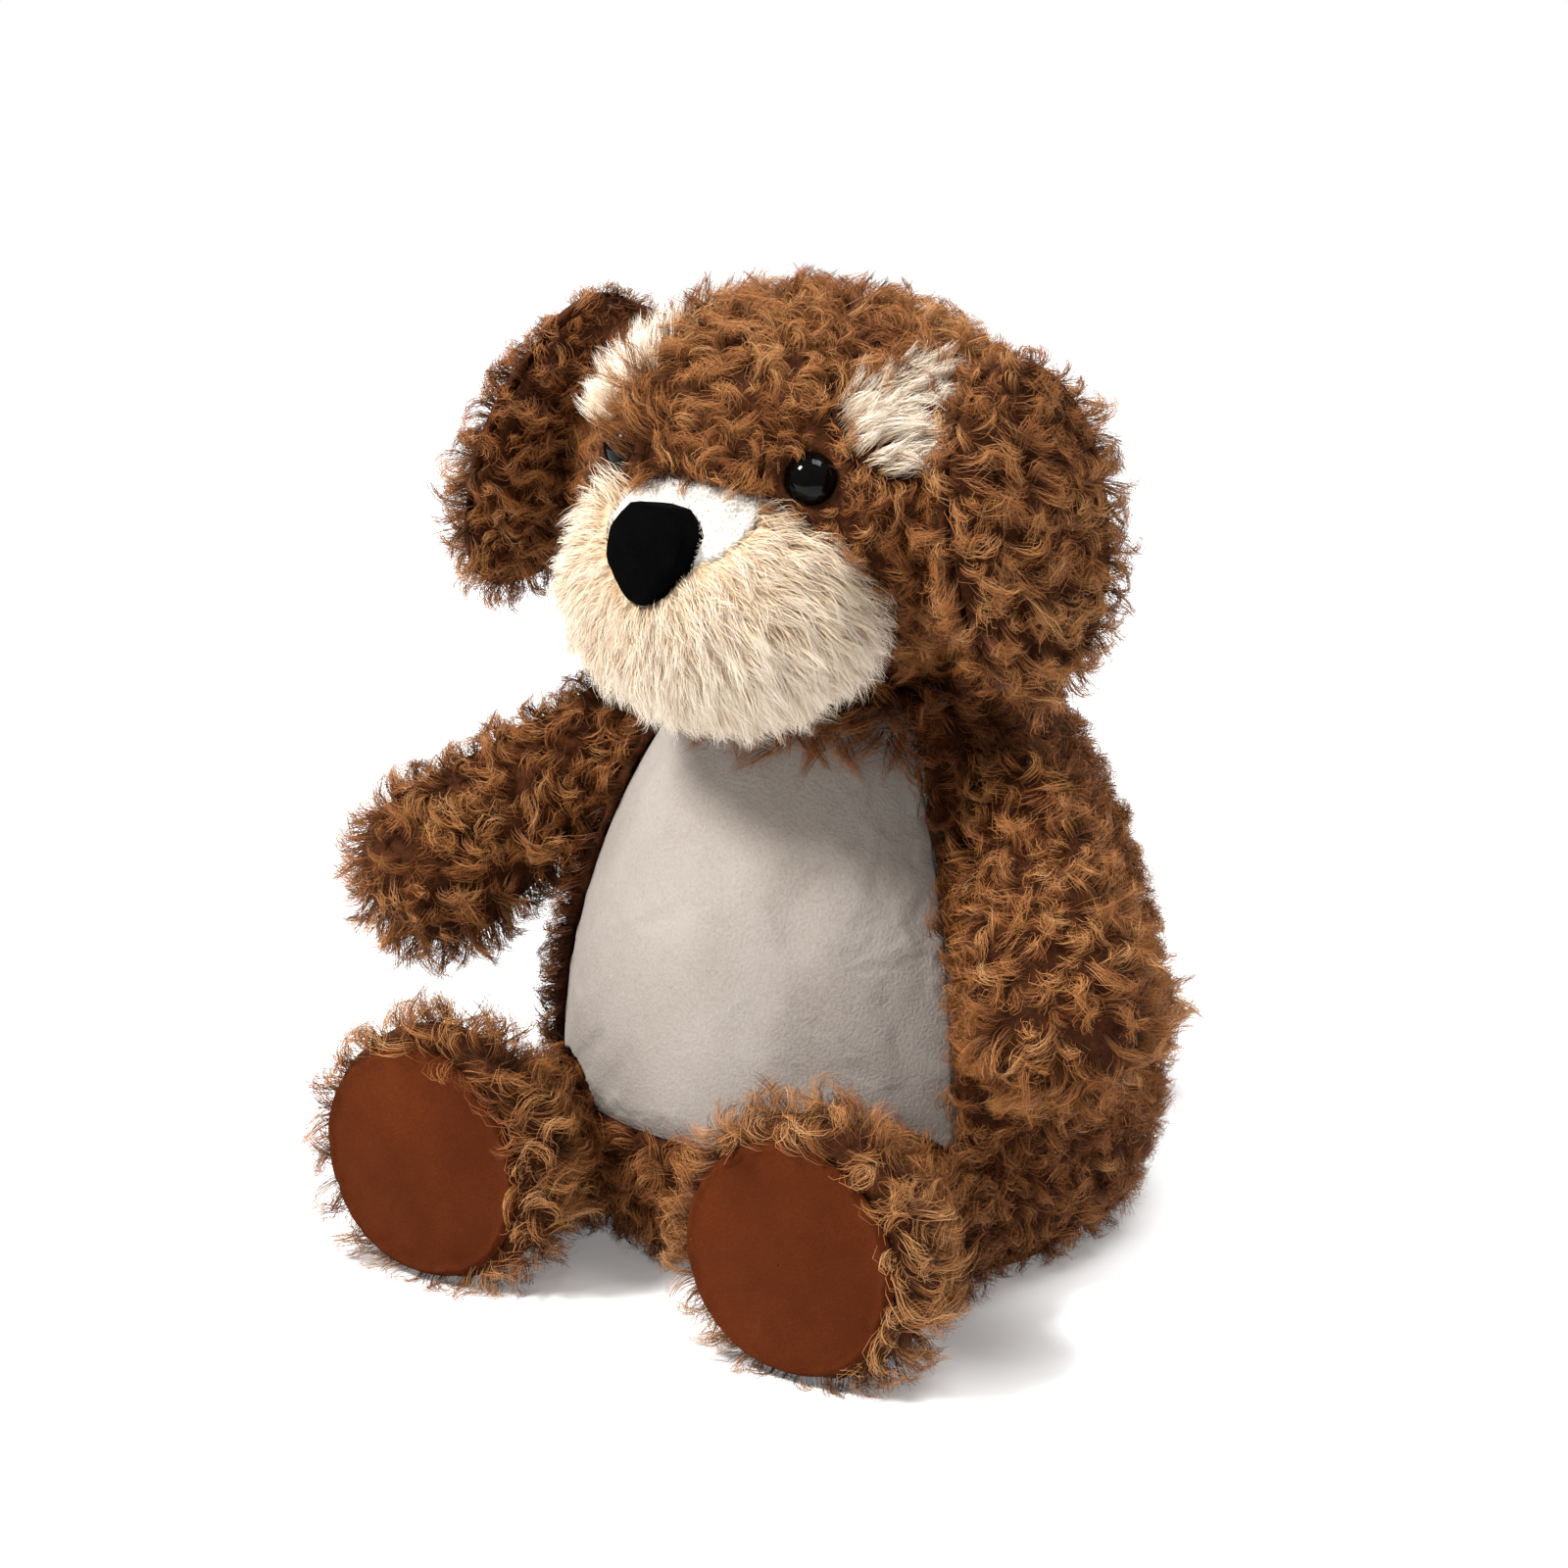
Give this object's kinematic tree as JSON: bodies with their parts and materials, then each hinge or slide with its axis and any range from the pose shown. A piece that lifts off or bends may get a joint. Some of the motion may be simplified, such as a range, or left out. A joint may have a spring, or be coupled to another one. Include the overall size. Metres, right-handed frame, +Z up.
{
  "type": "plush dog",
  "caption": "Sitting soft toy dog in brown curly pile with a smooth pale belly, suede-like soles, a long-haired cream muzzle and brows, and floppy ears.",
  "frame": {"origin": "on the floor, at the centre of the flat seat under the torso, straight below the middle of the shoulders", "axes": "+Z up; the dog faces -Y; +X is the dog's left side"},
  "size_m": [0.264, 0.259, 0.275],
  "materials": {
    "curly_pile": "matte",
    "long_pile": "matte",
    "white_plush": "matte",
    "pouch_cloth": "matte",
    "sole_suede": "matte",
    "nose_velour": "matte",
    "eye_plastic": "gloss",
    "washer_plastic": "satin",
    "thread": "matte",
    "fibre_fill": "matte"
  },
  "bodies": {
    "torso": {"torso_side_left": "curly_pile", "torso_side_right": "curly_pile", "belly_panel": "white_plush", "seat_panel": "curly_pile", "torso_stuffing": "fibre_fill", "pellet_pouch": "pouch_cloth", "closing_stitches": "thread"},
    "neck": {"neck_stuffing": "fibre_fill", "neck_collar": "curly_pile"},
    "head": {"head_side_left": "curly_pile", "head_side_right": "curly_pile", "head_gusset": "curly_pile", "brow_left": "long_pile", "brow_right": "long_pile", "muzzle_left": "long_pile", "muzzle_right": "long_pile", "snout_bridge": "white_plush", "nose_cover": "nose_velour", "nose_stuffing": "fibre_fill", "eye_left": "eye_plastic", "eye_right": "eye_plastic", "eye_washer_left": "washer_plastic", "eye_washer_right": "washer_plastic", "head_stuffing": "fibre_fill"},
    "ear_left": {"ear_outer_left": "curly_pile", "ear_lining_left": "curly_pile"},
    "ear_right": {"ear_outer_right": "curly_pile", "ear_lining_right": "curly_pile"},
    "arm_left": {"arm_left": "curly_pile", "arm_stuffing_left": "fibre_fill"},
    "arm_right": {"arm_right": "curly_pile", "arm_stuffing_right": "fibre_fill"},
    "leg_left": {"leg_left": "curly_pile", "sole_left": "sole_suede", "leg_stuffing_left": "fibre_fill"},
    "leg_right": {"leg_right": "curly_pile", "sole_right": "sole_suede", "leg_stuffing_right": "fibre_fill"},
    "tail": {"tail": "curly_pile", "tail_stuffing": "fibre_fill"}
  },
  "joints": [
    {"name": "head_turn", "type": "hinge", "parent": "torso", "child": "neck", "pos_m": [0, -0.01, 0.17], "axis": [0, 0, 1], "range_deg": [-30, 30], "stiffness_Nm_per_rad": 0.6},
    {"name": "head_nod", "type": "hinge", "parent": "neck", "child": "head", "pos_m": [0, -0.01, 0.17], "axis": [1, 0, 0], "range_deg": [-15, 10], "stiffness_Nm_per_rad": 1.2},
    {"name": "ear_left_flap", "type": "hinge", "parent": "head", "child": "ear_left", "pos_m": [0.0515, -0.022, 0.255], "axis": [0, -1, 0], "range_deg": [0, 75]},
    {"name": "arm_left_swing", "type": "hinge", "parent": "torso", "child": "arm_left", "pos_m": [0.069, -0.017, 0.139], "axis": [-1, 0, 0], "range_deg": [-15, 45], "stiffness_Nm_per_rad": 0.35},
    {"name": "leg_left_swing", "type": "hinge", "parent": "torso", "child": "leg_left", "pos_m": [0.057, -0.052, 0.0215], "axis": [-1, 0, 0], "range_deg": [-10, 12], "stiffness_Nm_per_rad": 0.6},
    {"name": "ear_right_flap", "type": "hinge", "parent": "head", "child": "ear_right", "pos_m": [-0.0515, -0.022, 0.255], "axis": [0, 1, 0], "range_deg": [0, 75]},
    {"name": "arm_right_swing", "type": "hinge", "parent": "torso", "child": "arm_right", "pos_m": [-0.069, -0.017, 0.139], "axis": [-1, 0, 0], "range_deg": [-15, 45], "stiffness_Nm_per_rad": 0.35},
    {"name": "leg_right_swing", "type": "hinge", "parent": "torso", "child": "leg_right", "pos_m": [-0.057, -0.052, 0.0215], "axis": [-1, 0, 0], "range_deg": [-10, 12], "stiffness_Nm_per_rad": 0.6},
    {"name": "tail_wag", "type": "hinge", "parent": "torso", "child": "tail", "pos_m": [0, 0.092, 0.027], "axis": [0, 0, 1], "range_deg": [-6, 25], "stiffness_Nm_per_rad": 0.05}
  ]
}
